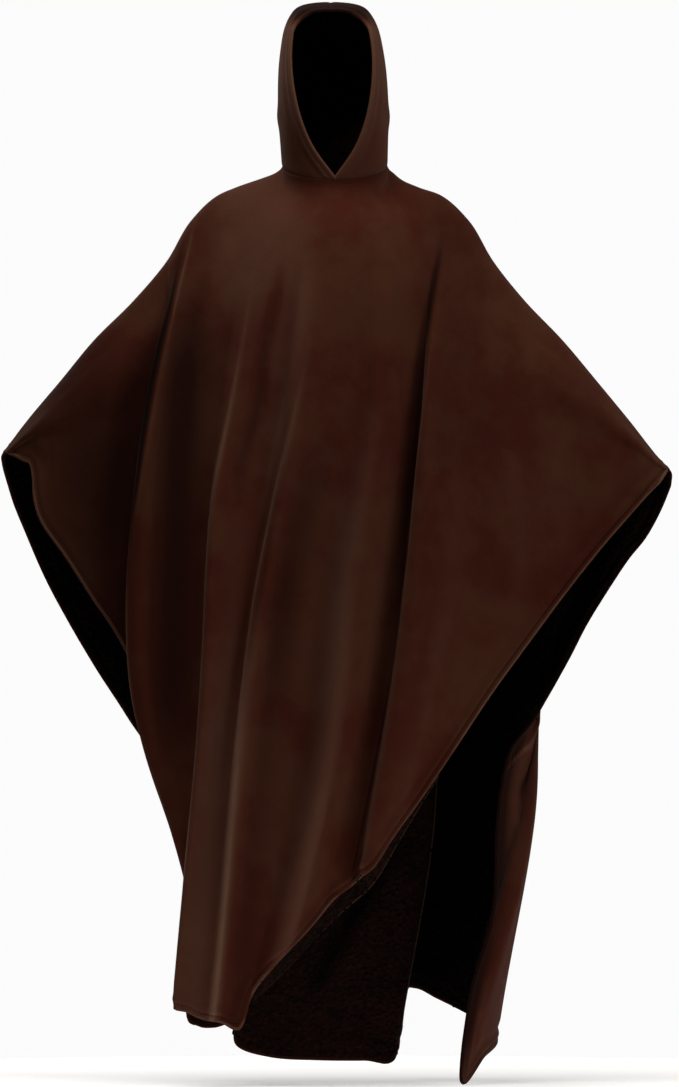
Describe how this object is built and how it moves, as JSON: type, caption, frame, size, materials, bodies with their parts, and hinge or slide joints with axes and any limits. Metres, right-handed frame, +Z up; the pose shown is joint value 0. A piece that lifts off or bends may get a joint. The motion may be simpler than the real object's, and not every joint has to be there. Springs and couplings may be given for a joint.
{
  "type": "hooded wearable blanket",
  "caption": "Oversized hooded poncho blanket with a smooth fleece face and a pile lining, hanging hollow and open as worn, with deep hanging folds and one corner drawn across the front.",
  "frame": {"origin": "middle of the base of the neck, where the wearer's neck and shoulders hold the garment up", "axes": "+Z up, -Y to the front of the garment, +X to the wearer's left"},
  "size_m": [1.1414, 0.4347, 1.8245],
  "materials": {
    "fleece_shell": "dark brown short smooth fleece with a faint nap",
    "pile_lining": "near-black curly pile"
  },
  "bodies": {
    "root": {"front_shell": "fleece_shell", "back_shell": "fleece_shell", "hood_left_shell": "fleece_shell", "hood_right_shell": "fleece_shell", "front_lining": "pile_lining", "back_lining": "pile_lining", "hood_left_lining": "pile_lining", "hood_right_lining": "pile_lining"}
  },
  "joints": []
}
